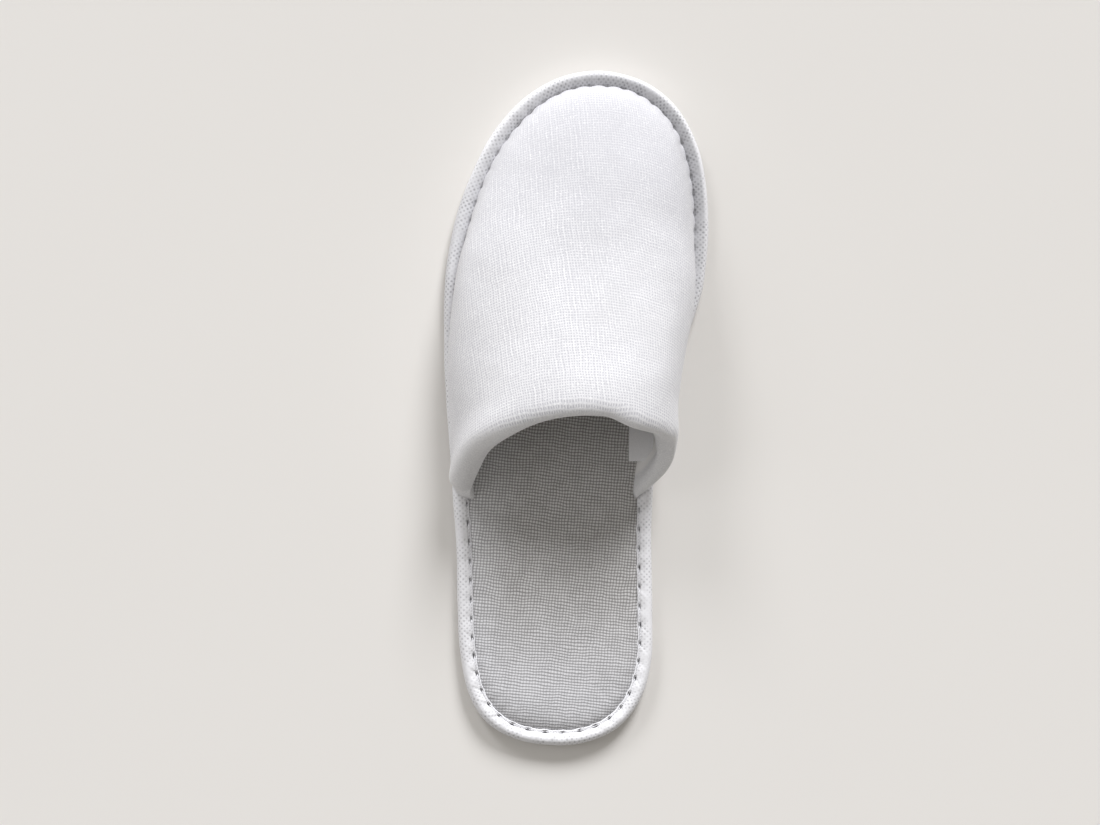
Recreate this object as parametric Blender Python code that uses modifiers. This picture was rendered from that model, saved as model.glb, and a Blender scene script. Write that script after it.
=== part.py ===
"""Hotel slipper, left shoe: a closed-toe, open-back slipper of white cloth on a flat foam sole.

The toe points along +Y, the big-toe (medial) side is +X, and the sole stands on Z = 0.
Sizes are in millimetres, measured forward from the heel and outward from the heel-to-toe axis.
Five pieces make it: outsole, insole, upper, edge binding and a small plain tab inside.
"""

import math

import bmesh
import bpy
import numpy as np

MM = 0.001
OBJECT_NAME = "hotel_slipper"

# Sole outline: half widths each side of the heel-to-toe axis, before the ends are rounded off.
LENGTH = 285.0
OUTLINE = (
    # from heel, lateral, medial
    (0.0, 44.0, 49.0),
    (30.0, 40.5, 44.5),
    (70.0, 43.5, 39.5),
    (115.0, 50.5, 36.0),
    (160.0, 57.5, 40.5),
    (200.0, 60.0, 49.0),
    (240.0, 54.5, 48.5),
    (285.0, 51.5, 51.0),
)
HEEL_ROUND = 55.0
HEEL_POWER = 2.3
TOE_ROUND = 65.5
TOE_POWER = 2.1
EDGE_POINTS = 88

# The sole lies flat from the heel to the ball and lifts a little towards the toe.
SPRING_START = 215.0
TOE_SPRING = 3.0

GAP = 0.3

# Edge binding: the middle of the folded tape, from its lower lip round the edge to its upper lip.
TAPE_THICKNESS = 0.7
TAPE_FOLD = (
    # inset from the edge, height
    (6.60, 0.60),
    (3.00, 0.60),
    (1.50, 0.95),
    (0.60, 2.00),
    (0.35, 3.60),
    (0.60, 5.00),
    (1.40, 6.10),
    (2.70, 6.55),
    (4.40, 6.20),
    (5.95, 5.60),
)

# Outsole: its margin is pinched up by the tape, and the tread stands on the floor.
OUTSOLE_TOP = 3.9
OUTSOLE_PROFILE = (
    # inset, height, from the tread up the side to the top
    (8.00, 0.00),
    (7.20, 1.25),
    (3.10, 1.25),
    (1.90, 1.60),
    (1.30, 2.40),
    (1.20, 3.40),
    (1.80, OUTSOLE_TOP),
)

# Insole: a padded board, thin under the tape and the wall of the upper, puffed up inside them.
INSOLE_PROFILE = (
    # inset, height, from its underside up the side and over the pad
    (3.00, OUTSOLE_TOP + GAP),
    (2.10, 4.50),
    (2.10, 5.10),
    (2.90, 5.75),
    (4.50, 5.40),
    (6.30, 4.85),
    (9.60, 5.25),
    (12.00, 6.30),
    (16.00, 7.10),
    (23.00, 7.60),
)

# Upper: cross sections of the padded wall, which stands just inside the tape's upper lip.
WALL = 2.2
FOOT_INSET = 6.6
FOOT_HEIGHT = 5.6
ROUNDNESS = 0.92
FLARE_POWER = 1.2
FLARE_SHARE = 0.22
SECTIONS = (
    # from heel, ridge height, ridge to medial, lateral bulge, medial bulge,
    # height of the lateral bulge, height of the medial bulge
    (95.0, 50.0, 7.0, 4.5, 10.0, 15.0, 22.0),
    (125.0, 51.5, 7.0, 5.6, 11.4, 16.0, 23.0),
    (145.0, 50.5, 6.5, 6.0, 9.0, 16.0, 22.0),
    (180.0, 43.0, 6.0, 4.0, 5.0, 15.0, 17.0),
    (215.0, 35.0, 4.0, 0.5, 0.4, 13.0, 13.0),
    (250.0, 28.5, 2.0, -0.8, -1.0, 11.0, 11.0),
    (285.0, 22.0, 0.0, -0.8, -0.8, 10.0, 10.0),
)
TOE_CENTRE = 215.0
FOOT_SAMPLES = 720

# Collar: where the wall ends, read round the foot from the lateral foot (-1) over the ridge (0)
# to the medial foot (1). The edge is rolled, so the wall thickens towards it.
COLLAR = (
    # round, from heel
    (-1.00, 100.0),
    (-0.80, 103.5),
    (-0.62, 111.5),
    (-0.48, 122.0),
    (-0.37, 129.0),
    (-0.20, 139.0),
    (0.00, 144.0),
    (0.20, 140.5),
    (0.50, 136.0),
    (0.75, 129.5),
    (0.88, 118.5),
    (1.00, 107.5),
)
ROLL = 8.0
ROLL_REACH = 18.0
FLARE_COLUMNS = 4
CROWN_COLUMNS = 12
REAR_ROWS = (1.0, 0.97, 0.93, 0.88, 0.81, 0.72, 0.62, 0.5, 0.37, 0.25, 0.12)
ROLL_STEPS = 6
SLOPE_STEP = 0.01

# Inner tab: a plain cloth tab in the corner between footbed and medial wall.
TAB_WIDTH = 6.4
TAB_LENGTH = 24.0
TAB_THICKNESS = 0.8
TAB_CENTRE = (26.2, 135.0, 8.9)
TAB_SLOPE = math.radians(24.0)
TAB_TURN = math.radians(5.0)

WHITE_CLOTH = (0.86, 0.86, 0.88)
FOOTBED_CLOTH = (0.74, 0.74, 0.76)
TAPE_WHITE = (0.80, 0.80, 0.82)
SOLE_GREY = (0.72, 0.72, 0.69)


def smooth(at, places, values):
    """A cubic through the rows of a table; the slope at a row comes from its neighbours."""
    places, values = np.asarray(places), np.asarray(values)
    slopes = np.gradient(values, places)
    row = np.clip(np.searchsorted(places, at) - 1, 0, len(places) - 2)
    step = places[row + 1] - places[row]
    t = (at - places[row]) / step
    return (
        (1 + 2 * t) * (1 - t) ** 2 * values[row]
        + t * (1 - t) ** 2 * step * slopes[row]
        + t * t * (3 - 2 * t) * values[row + 1]
        + t * t * (t - 1) * step * slopes[row + 1]
    )


def column(table, name, at, names):
    """One named column of a table, read at the given places of its first column."""
    rows = np.array(table)
    return smooth(at, rows[:, 0], rows[:, names.index(name)])


def end_rounding(from_end, reach, power):
    """How much of the width is left near an end: 0 at the end and 1 from the reach inward."""
    share = np.clip(from_end / reach, 0.0, 1.0)
    return (1 - (1 - share) ** power) ** (1 / power)


def half_width(side, from_heel):
    """Distance from the heel-to-toe axis to the sole's edge, on one side."""
    width = column(OUTLINE, side, from_heel, ("from_heel", "lateral", "medial"))
    heel = end_rounding(from_heel, HEEL_ROUND, HEEL_POWER)
    toe = end_rounding(LENGTH - from_heel, TOE_ROUND, TOE_POWER)
    return width * heel * toe


def edge_ring(inset, points=EDGE_POINTS):
    """The sole's edge moved inward: heel tip, lateral side, toe tip, then back on the medial side."""
    turn = np.linspace(0, 2 * math.pi, points, endpoint=False)
    from_heel = LENGTH * (1 - np.cos(turn)) / 2
    lateral = turn < math.pi
    across = np.where(lateral, -half_width("lateral", from_heel), half_width("medial", from_heel))
    ring = np.column_stack([across, from_heel])
    along = np.roll(ring, -1, axis=0) - np.roll(ring, 1, axis=0)
    outward = np.column_stack([-along[:, 1], along[:, 0]])
    return ring - inset * outward / np.linalg.norm(outward, axis=1, keepdims=True)


def shoe_axis():
    """How far the heel-to-toe axis lies to the medial side of the middle of the sole's box."""
    ring = edge_ring(0.0, FOOT_SAMPLES)
    return -(ring[:, 0].min() + ring[:, 0].max()) / 2


def place(points):
    """Millimetres from the heel and the axis to metres about the centre of the sole, toe lifted."""
    x, from_heel, z = np.moveaxis(np.asarray(points, float), -1, 0)
    rise = np.clip((from_heel - SPRING_START) / (LENGTH - SPRING_START), 0, 1)
    lifted = z + TOE_SPRING * rise**2
    return MM * np.stack([x + shoe_axis(), from_heel - LENGTH / 2, lifted], axis=-1)


def ladder(loop):
    """Faces that close a loop whose two halves run side by side, from its first vertex."""
    half = len(loop) // 2
    faces = [(loop[0], loop[1], loop[-1])]
    for step in range(1, half - 1):
        faces.append((loop[step], loop[step + 1], loop[-step - 1], loop[-step]))
    faces.append((loop[half - 1], loop[half], loop[half + 1]))
    return faces


def loft(name, sections, ring=False):
    """A solid through closed sections of equal length. A ring joins last to first, else both close."""
    mesh = bmesh.new()
    loops = [[mesh.verts.new(point) for point in place(section)] for section in sections]
    pairs = list(zip(loops, loops[1:]))
    if ring:
        pairs.append((loops[-1], loops[0]))
    for here, there in pairs:
        for step in range(len(here)):
            ahead = (step + 1) % len(here)
            mesh.faces.new((here[step], here[ahead], there[ahead], there[step]))
    if not ring:
        for face in ladder(loops[0]) + ladder(loops[-1]):
            mesh.faces.new(face)
    bmesh.ops.recalc_face_normals(mesh, faces=mesh.faces)
    data = bpy.data.meshes.new(name)
    mesh.to_mesh(data)
    mesh.free()
    data.shade_smooth()
    return bpy.data.objects.new(name, data)


def rings(profile):
    """One ring at each inset and height of a profile."""
    return [np.column_stack([edge_ring(inset), np.full(EDGE_POINTS, z)]) for inset, z in profile]


def make_outsole():
    return loft("outsole", rings(OUTSOLE_PROFILE))


def make_insole():
    return loft("insole", rings(INSOLE_PROFILE))


def make_edge_binding():
    """The tape's folded mid line, given its thickness, run round the edge."""
    fold = np.array(TAPE_FOLD)
    along = np.gradient(fold, axis=0)
    across = np.column_stack([-along[:, 1], along[:, 0]])
    across *= TAPE_THICKNESS / 2 / np.linalg.norm(across, axis=1, keepdims=True)
    return loft("edge_binding", rings(np.vstack([fold + across, (fold - across)[::-1]])), ring=True)


def section_value(name, from_heel):
    names = (
        "from_heel",
        "height",
        "ridge",
        "lateral_bulge",
        "medial_bulge",
        "lateral_widest",
        "medial_widest",
    )
    return column(SECTIONS, name, from_heel, names)


def wall_profile(up):
    """The wall from the foot (0) to the ridge (1): how far it has flared and risen to the bulge,
    then the share of the half width left and of the crown's height reached."""
    low = np.clip(up / FLARE_SHARE, 0, 1)
    high = np.clip((up - FLARE_SHARE) / (1 - FLARE_SHARE), 0, 1) * math.pi / 2
    flare = np.sin(low * math.pi / 2) ** FLARE_POWER
    return flare, low, np.abs(np.cos(high)) ** ROUNDNESS, np.sin(high) ** ROUNDNESS


def foot_run(side):
    """The upper's foot line on one side, heel to toe, as (across, from heel) rows."""
    foot = edge_ring(FOOT_INSET, FOOT_SAMPLES)
    toe = len(foot) // 2
    return foot[: toe + 1] if side == "lateral" else np.vstack([foot[:1], foot[:toe - 1:-1]])


def foot_from_toe_centre(bearing):
    """Distance to the foot line and its place from the heel, at a bearing from the toe centre."""
    offset = edge_ring(FOOT_INSET, FOOT_SAMPLES) - (section_value("ridge", TOE_CENTRE), TOE_CENTRE)
    angle = np.arctan2(offset[:, 0], offset[:, 1])
    order = np.argsort(angle)
    reach = np.interp(bearing, angle[order], np.hypot(*offset[order].T))
    return reach, np.interp(bearing, angle[order], offset[order, 1] + TOE_CENTRE)


def upper_point(across, along):
    """Outer surface of the upper. across runs from the lateral foot (-1) over the ridge (0) to
    the medial foot (1), along from the collar (-1) over the toe centre (0) to the toe seam (1).
    Behind the toe centre the wall is made of cross sections, in front of it of spokes."""
    across, along = np.broadcast_arrays(np.asarray(across, float), np.asarray(along, float))
    in_front = along > 0
    size, side = np.abs(across), np.sign(across)
    ring = np.where(in_front, np.maximum(size, along), size)
    shared = np.maximum(ring, 1e-9)
    turned = np.where(size >= along, side * (2 - along / shared), across / shared) * math.pi / 4
    bearing = np.where(in_front, turned, side * math.pi / 2)
    collar_rows = np.array(COLLAR)
    collar = smooth(across, collar_rows[:, 0], collar_rows[:, 1])
    station = TOE_CENTRE + (TOE_CENTRE - collar) * np.minimum(along, 0)
    ridge = section_value("ridge", station)
    reach, foot_station = foot_from_toe_centre(bearing)
    foot_station = np.where(in_front, foot_station, station)
    bulge, widest = np.zeros_like(station), np.zeros_like(station)
    for name, here in (("lateral", bearing < 0), ("medial", bearing >= 0)):
        run = foot_run(name)
        behind = np.abs(np.interp(station, run[:, 1], run[:, 0]) - ridge)
        reach = np.where(here & ~in_front, behind, reach)
        bulge = np.where(here, section_value(name + "_bulge", foot_station), bulge)
        widest = np.where(here, section_value(name + "_widest", foot_station), widest)
    flare, low, left, risen = wall_profile(1 - ring)
    out = (reach + bulge * flare) * left
    x, y = ridge + out * np.sin(bearing), station + out * np.cos(bearing)
    z = FOOT_HEIGHT + (widest - FOOT_HEIGHT) * low + (section_value("height", y) - widest) * risen
    return np.stack([x, y, z], axis=-1)


def upper_frame(across, along):
    """Outward normal and forward direction of the upper's surface."""
    limit = 1 - 1.5 * SLOPE_STEP
    across, along = np.clip(across, -limit, limit), np.clip(along, -limit, limit)
    sideways = upper_point(across + SLOPE_STEP, along) - upper_point(across - SLOPE_STEP, along)
    forward = upper_point(across, along + SLOPE_STEP) - upper_point(across, along - SLOPE_STEP)
    normal = np.cross(sideways, forward)
    return (
        normal / np.linalg.norm(normal, axis=-1, keepdims=True),
        forward / np.linalg.norm(forward, axis=-1, keepdims=True),
    )


def wall_thickness(across, from_collar):
    """The wall's padding, thicker in the rolled collar, which thins out to its two ends."""
    share = np.clip(1 - from_collar / ROLL_REACH, 0, 1)
    rolled = share * share * (3 - 2 * share) * (1 - np.abs(across) ** 3)
    return WALL + (ROLL - WALL) * rolled


def upper_column(across, rows):
    """One lengthwise strip of the wall as a closed loop: from the middle of the rolled edge along
    the outside to the toe seam, and back along the inside."""
    along = np.array(rows)
    outer = upper_point(across, along)
    normal, forward = upper_frame(across, along)
    if abs(across) == 1:
        normal[:, 2], forward[:, 2] = 0, 0
    normal[-1, 2] = 0
    normal /= np.linalg.norm(normal, axis=-1, keepdims=True)
    thickness = wall_thickness(across, np.linalg.norm(outer - outer[0], axis=1))
    inner = outer - normal * thickness[:, None]
    radius, middle = thickness[0] / 2, (outer[0] + inner[0]) / 2
    back = -forward[0] / np.linalg.norm(forward[0])

    def rolled(turn):
        return middle + radius * (math.cos(turn) * normal[0] + math.sin(turn) * back)

    turns = [math.pi / 2 * (1 - step / ROLL_STEPS) for step in range(ROLL_STEPS)]
    over = [rolled(turn) for turn in turns]
    under = [rolled(math.pi - turn) for turn in turns[:0:-1]]
    seam = (outer[-1] + inner[-1]) / 2
    return np.vstack([over, outer, [seam], inner[::-1], under])


def make_upper():
    """Columns close together on the flaring wall, wider apart over the crown."""
    low = [1 - FLARE_SHARE * step / FLARE_COLUMNS for step in range(FLARE_COLUMNS)]
    high = [(1 - FLARE_SHARE) * (1 - step / CROWN_COLUMNS) for step in range(CROWN_COLUMNS)]
    half = low + high
    columns = [-share for share in half] + [0.0] + half[::-1]
    rows = [-share for share in REAR_ROWS] + [0.0] + half[::-1]
    return loft("upper", [upper_column(across, rows) for across in columns])


def make_inner_tab():
    bpy.ops.mesh.primitive_cube_add(size=1)
    tab = bpy.context.object
    tab.name = "inner_tab"
    tab.scale = [MM * size for size in (TAB_WIDTH, TAB_LENGTH, TAB_THICKNESS)]
    tab.location = place(TAB_CENTRE)
    tab.rotation_euler = (0, -TAB_SLOPE, TAB_TURN)
    bpy.ops.object.transform_apply(location=False, rotation=False, scale=True)
    soften = tab.modifiers.new("soft_edges", "BEVEL")
    soften.width = MM * TAB_THICKNESS / 3
    soften.segments = 2
    return tab


def material(name, colour, roughness):
    made = bpy.data.materials.new(name)
    made.use_nodes = True
    shader = made.node_tree.nodes["Principled BSDF"]
    shader.inputs["Base Color"].default_value = (*colour, 1)
    shader.inputs["Roughness"].default_value = roughness
    shader.inputs["Metallic"].default_value = 0
    return made


def main():
    for old in list(bpy.data.objects):
        bpy.data.objects.remove(old, do_unlink=True)
    parts = bpy.data.collections.new(OBJECT_NAME)
    bpy.context.scene.collection.children.link(parts)
    finishes = (
        (make_outsole, material("foam_sole", SOLE_GREY, 0.7)),
        (make_insole, material("footbed_cloth", FOOTBED_CLOTH, 0.95)),
        (make_upper, material("upper_cloth", WHITE_CLOTH, 0.95)),
        (make_edge_binding, material("binding_tape", TAPE_WHITE, 0.8)),
        (make_inner_tab, material("tab_cloth", WHITE_CLOTH, 0.9)),
    )
    for make, finish in finishes:
        piece = make()
        for holder in list(piece.users_collection):
            holder.objects.unlink(piece)
        parts.objects.link(piece)
        piece.data.materials.append(finish)


main()
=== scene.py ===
"""Hotel slipper, left shoe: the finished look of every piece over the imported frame.

Sizes are in millimetres, measured forward from the heel and outward from the heel-to-toe axis,
and metres() places them in the frame. The upper, insole, outsole, tape and tab replace their
plain solids; the stitches and the tread are added to them.
"""

import math
from contextlib import contextmanager

import bpy
import numpy as np
from mathutils import Matrix, Vector, noise


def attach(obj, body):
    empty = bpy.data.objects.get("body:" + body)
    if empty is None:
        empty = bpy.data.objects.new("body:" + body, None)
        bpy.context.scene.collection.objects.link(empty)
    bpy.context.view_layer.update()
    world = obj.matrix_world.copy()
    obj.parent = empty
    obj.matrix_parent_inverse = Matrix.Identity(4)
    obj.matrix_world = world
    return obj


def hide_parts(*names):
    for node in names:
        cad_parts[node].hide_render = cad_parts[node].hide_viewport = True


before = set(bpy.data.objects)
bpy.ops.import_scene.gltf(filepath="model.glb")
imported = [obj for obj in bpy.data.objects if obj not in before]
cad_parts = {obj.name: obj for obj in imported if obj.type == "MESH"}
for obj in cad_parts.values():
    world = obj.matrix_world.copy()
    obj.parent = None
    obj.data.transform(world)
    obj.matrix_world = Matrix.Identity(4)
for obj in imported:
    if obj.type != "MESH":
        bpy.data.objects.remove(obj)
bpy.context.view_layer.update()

MM = 0.001

# Sole outline: half widths each side of the heel-to-toe axis, before the ends are rounded off.
LENGTH = 285.0
OUTLINE = (
    # from heel, lateral, medial
    (0.0, 44.0, 49.0),
    (30.0, 40.5, 44.5),
    (70.0, 43.5, 39.5),
    (115.0, 50.5, 36.0),
    (160.0, 57.5, 40.5),
    (200.0, 60.0, 49.0),
    (240.0, 54.5, 48.5),
    (285.0, 51.5, 51.0),
)
HEEL_ROUND, HEEL_POWER = 55.0, 2.3
TOE_ROUND, TOE_POWER = 65.5, 2.1
SPRING_START, TOE_SPRING = 215.0, 3.0

# Upper: the cross sections of its padded wall, the line of its collar and its seam to the sole.
SECTION_COLUMNS = (
    "from_heel",
    "height",
    "ridge",
    "lateral_bulge",
    "medial_bulge",
    "lateral_widest",
    "medial_widest",
)
SECTIONS = (
    (95.0, 50.0, 7.0, 4.5, 10.0, 15.0, 22.0),
    (125.0, 51.5, 7.0, 5.6, 11.4, 16.0, 23.0),
    (145.0, 50.5, 6.5, 6.0, 9.0, 16.0, 22.0),
    (180.0, 43.0, 6.0, 4.0, 5.0, 15.0, 17.0),
    (215.0, 35.0, 4.0, 0.5, -0.4, 13.0, 13.0),
    (250.0, 28.5, 2.0, -0.8, -2.2, 11.0, 11.0),
    (285.0, 22.0, 0.0, -1.4, -1.6, 10.0, 10.0),
)
COLLAR = (
    # across from the lateral foot (-1) to the medial foot (1), from heel
    (-1.00, 100.0),
    (-0.80, 103.5),
    (-0.62, 111.5),
    (-0.48, 122.0),
    (-0.37, 129.0),
    (-0.20, 139.0),
    (0.00, 144.0),
    (0.20, 140.5),
    (0.50, 137.0),
    (0.75, 130.5),
    (0.88, 118.5),
    (1.00, 107.5),
)
TOE_CENTRE = 215.0
FOOT_INSET, FOOT_HEIGHT = 6.6, 5.6
ROUNDNESS, FLARE_POWER, FLARE_SHARE = 0.92, 1.2, 0.22
# The share of the wall that turns upright at its foot, and the step that its slopes are taken over.
FOOT_TURN, SLOPE_STEP = 0.05, 0.01
UPPER_COLUMNS, COLLAR_ROWS, TOE_ROWS = 160, 90, 76

# The wall's thickness, its thickness in the rolled collar, and how far from the edge that reaches.
WALL, ROLL, ROLL_REACH = 2.2, 8.0, 18.0
# How the roll is rounded off: its value at the ridge, then what the lateral and the medial side
# add to it. The first two are shares of the roll's thickness, the others are millimetres.
OUTER_SHARE = (0.45, 0.40, -0.10)
TIP_SHARE = (0.42, -0.30, -0.07)
OUTER_REACH = (3.8, 2.4, 0.0)
INNER_REACH = (4.0, 0.0, 4.0)
# The padding folded in at the medial wing: how much thicker, and where across the upper.
WING_PAD, WING_CENTRE, WING_WIDTH = 6.0, 0.72, 0.31
# How far the cloth swells beside the collar, how far from it that is, and how far the upper
# sinks towards it.
LATERAL_PUFF, MEDIAL_PUFF, PUFF_CENTRE = 3.4, 1.3, 3.0
LATERAL_SAG, MEDIAL_SAG = 6.0, 2.0
# The swell of the cloth over the tape, at the sides and what the toe adds to it.
SEAM_SWELL, TOE_SWELL = 0.25, 0.30

# Stitching: one needle hole every stitch along the edge, and how far a hole draws in the tape.
STITCH, STITCH_INSET, HOLE_REACH = 8.1, 5.62, 1.5
# The thread's radius, its sides and its points in a stitch, and its dive at each hole.
THREAD, THREAD_SIDES, THREAD_POINTS = 0.24, 6, 14
DIVE_DEPTH, DIVE_REACH = 1.1, 0.75
# How many places of the tape's line are tried for the one under the thread.
STITCH_ROWS = 60

# Edge tape: the middle of its fold from the lower lip round the edge to the upper lip, which
# stands up as a raw edge where it is free and tucks under the seam where the upper is sewn on.
TAPE = 0.7
TAPE_FOLD = (
    # inset, height
    (6.60, 0.60),
    (5.60, 0.50),
    (4.30, 0.66),
    (3.00, 0.60),
    (1.50, 0.95),
    (0.60, 2.00),
    (0.35, 3.60),
    (0.60, 5.00),
    (1.40, 6.10),
    (2.70, 6.55),
    (4.10, 6.25),
)
FREE_LIP = ((4.80, 5.95), (5.25, 5.55), (5.62, 5.15), (5.95, 5.20), (6.20, 5.45))
SEWN_LIP = ((4.80, 5.95), (5.35, 5.65), (5.80, 5.35), (6.15, 5.05), (6.40, 4.75))
LIP_BLEND = (96.0, 110.0)
TAPE_COLUMNS, TAPE_ROWS = 1200, 40
# Just over half of the rows cover three quarters of the fold, and the rest its upper lip.
ROW_SHARES, FOLD_SHARES = (0, 0.55, 1), (0, 0.76, 1)
# The heights between which the tape's top begins, and the least height of tape and thread.
TOP_START, FLOOR_GAP = (4.0, 4.6), 0.05

# Insole and outsole: inset from the edge and height.
PAD_PROFILE = (
    (3.00, 4.20),
    (2.10, 4.50),
    (2.10, 5.10),
    (2.90, 5.40),
    (4.30, 4.95),
    (5.60, 4.45),
    (6.30, 4.60),
    (6.80, 5.15),
    (7.50, 5.75),
    (8.80, 6.30),
    (10.60, 6.70),
    (13.50, 7.05),
    (18.00, 7.35),
    (23.00, 7.55),
)
PAD_TOP = 7.7
SOLE_PROFILE = (
    (8.70, 1.05),
    (8.60, 0.10),
    (8.45, 0.00),
    (8.05, 0.00),
    (7.90, 0.10),
    (7.20, 1.25),
    (3.10, 1.25),
    (1.90, 1.60),
    (1.30, 2.40),
    (1.20, 3.40),
    (1.80, 3.90),
)
SPINE = (48.0, 232.0)
SOLE_COLUMNS = 480

# Tread: a diamond lattice of ridges round square pits. A batch of its points is trimmed at once.
CELL, RIDGE, PIT = 3.6, 0.55, 0.9
TREAD_INSET, TREAD_DEPTH = 8.6, 1.0
TREAD_BATCH = 4000

# Inner tab: a scrap of cloth that slopes up to the medial wall.
TAB_SIZE = (12.8, 24.0, 0.8)
TAB_CENTRE = (29.0, 135.0, 9.7)
TAB_SLOPE, TAB_TURN = math.radians(25.0), math.radians(5.0)
TAB_CURL, TAB_TAPER = 5.0, 0.2

# Cloth directions on the upper: how far the lengthwise threads lean and the crosswise ones arch.
THREAD_LEAN = 0.16
THREAD_ARCH = 0.0052

# Distance between yarns of each weave, between its ribs or bars, and between the tape's points.
UPPER_PITCH, RIB_PITCH, BAR_PITCH = 1.15, 2.05, 1.5
FOOTBED_PITCH = 1.27
POINT_PITCH = 2.2

# Camera: straight above but for a small tip to the lateral side, turned by the roll.
CAMERA_DISTANCE, CAMERA_LENS, SENSOR = 1200.0, 92.7, 36.0
CAMERA_TIP, CAMERA_ROLL = math.radians(5.0), math.radians(5.47)
CAMERA_OFFSET = (10.54, 1.73)

# Light: a bearing is from the toe, clockwise from above, and all three angles are in degrees.
ROOM_LIGHT, ROOM_STRENGTH = (1.0, 0.965, 0.92), 0.22
WINDOW_LIGHT = (0.985, 0.99, 1.02)
LAMPS = (
    # name, bearing, elevation, width, strength, colour
    ("window_right", 11.0, 28.0, 20.0, 3.12, WINDOW_LIGHT),
    ("window_left", -34.0, 26.0, 16.0, 1.0, WINDOW_LIGHT),
    ("side", -80.0, 33.0, 30.0, 0.35, WINDOW_LIGHT),
    ("overhead", 0.0, 76.0, 100.0, 0.45, ROOM_LIGHT),
)


# ------------------------ the shoe's own shape


def smooth(at, places, values):
    """A cubic through the rows of a table; the slope at a row comes from its neighbours."""
    places, values = np.asarray(places), np.asarray(values)
    slopes = np.gradient(values, places)
    row = np.clip(np.searchsorted(places, at) - 1, 0, len(places) - 2)
    step = places[row + 1] - places[row]
    t = (at - places[row]) / step
    return (
        (1 + 2 * t) * (1 - t) ** 2 * values[row]
        + t * (1 - t) ** 2 * step * slopes[row]
        + t * t * (3 - 2 * t) * values[row + 1]
        + t * t * (t - 1) * step * slopes[row + 1]
    )


def ease(value, low, high):
    """0 below low, 1 above high and a smooth step between them."""
    share = np.clip((value - low) / (high - low), 0, 1)
    return share * share * (3 - 2 * share)


def bell(value, centre, width, power=2):
    """1 at the centre, falling away smoothly on both sides of it."""
    return np.exp(-(((value - centre) / width) ** power))


def half_width(side, from_heel):
    rows = np.array(OUTLINE)
    width = smooth(from_heel, rows[:, 0], rows[:, 1 if side == "lateral" else 2])
    for from_end, reach, power in (
        (from_heel, HEEL_ROUND, HEEL_POWER),
        (LENGTH - from_heel, TOE_ROUND, TOE_POWER),
    ):
        width = width * (1 - (1 - np.clip(from_end / reach, 0, 1)) ** power) ** (1 / power)
    return width


def trace_edge(samples=2880):
    """The sole's edge from the heel tip along the lateral side, with its outward directions and
    the distance run along it."""
    turn = np.linspace(0, 2 * math.pi, samples, endpoint=False)
    from_heel = LENGTH * (1 - np.cos(turn)) / 2
    lateral = turn < math.pi
    across = np.where(lateral, -half_width("lateral", from_heel), half_width("medial", from_heel))
    ring = np.column_stack([across, from_heel])
    along = np.roll(ring, -1, axis=0) - np.roll(ring, 1, axis=0)
    outward = np.column_stack([-along[:, 1], along[:, 0]])
    outward /= np.linalg.norm(outward, axis=1, keepdims=True)
    ring, outward = np.vstack([ring, ring[:1]]), np.vstack([outward, outward[:1]])
    run = np.append(0, np.cumsum(np.linalg.norm(np.diff(ring, axis=0), axis=1)))
    return ring, outward, run


EDGE, OUTWARD, RUN = trace_edge()
EDGE_LENGTH = RUN[-1]
SHOE_AXIS = -(EDGE[:, 0].min() + EDGE[:, 0].max()) / 2
STITCHES = round(EDGE_LENGTH / STITCH)


def edge_point(run, inset):
    """The point at a run along the edge and an inset from it, as (across, from heel)."""
    point = np.stack([np.interp(run, RUN, EDGE[:, axis]) for axis in (0, 1)], axis=-1)
    outward = np.stack([np.interp(run, RUN, OUTWARD[:, axis]) for axis in (0, 1)], axis=-1)
    outward /= np.linalg.norm(outward, axis=-1, keepdims=True)
    return point - np.asarray(inset)[..., None] * outward


def metres(points):
    """Millimetres from the heel and the axis to metres in the frame, with the toe lifted."""
    x, from_heel, z = np.moveaxis(np.asarray(points, float), -1, 0)
    rise = np.clip((from_heel - SPRING_START) / (LENGTH - SPRING_START), 0, 1)
    lifted = z + TOE_SPRING * rise**2
    return MM * np.stack([x + SHOE_AXIS, from_heel - LENGTH / 2, lifted], axis=-1)


def rim_point(run):
    """The point of the sole's edge at a run along it, as (across, from heel)."""
    return edge_point(run, np.zeros(np.shape(run)))


def run_of(runs, table):
    """The run along the edge of each point of a table of columns by rows."""
    return np.broadcast_to(runs[:, None], table.shape[:2])


def from_hole(run):
    """Distance along the edge to the nearest needle hole."""
    step = EDGE_LENGTH / STITCHES
    return np.abs((run / step + 0.5) % 1 - 0.5) * step


def ripple(run, wave, start):
    """A wave along the edge, of about that length, that closes on itself."""
    return np.sin(2 * math.pi * round(EDGE_LENGTH / wave) * run / EDGE_LENGTH + start)


def uneven(run, wave, start):
    """An irregular wave along the edge, from -1 to 1."""
    return (
        ripple(run, wave, start)
        + ripple(run, wave * 0.618, 2.1 * start + 1)
        + ripple(run, wave * 1.37, 3.3 * start + 2)
    ) / 3


def drift(points, size, start):
    """Soft noise over points in millimetres, with features of about that size."""
    flat = np.asarray(points, float).reshape(-1, 3) / size + start
    values = [noise.noise(Vector(point)) for point in flat]
    return np.array(values).reshape(np.shape(points)[:-1])


# ------------------------ modelling


def add_grid(name, columns, rows):
    """A grid primitive, with the column and row of each of its vertices."""
    bpy.ops.object.select_all(action="DESELECT")
    bpy.ops.mesh.primitive_grid_add(
        x_subdivisions=columns - 1, y_subdivisions=rows - 1, size=2, calc_uvs=False
    )
    piece = bpy.context.object
    piece.name = name
    flat = np.empty(len(piece.data.vertices) * 3)
    piece.data.vertices.foreach_get("co", flat)
    share = (flat.reshape(-1, 3)[:, :2] + 1) / 2
    return piece, *np.rint(share * (columns - 1, rows - 1)).astype(int).T


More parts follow.
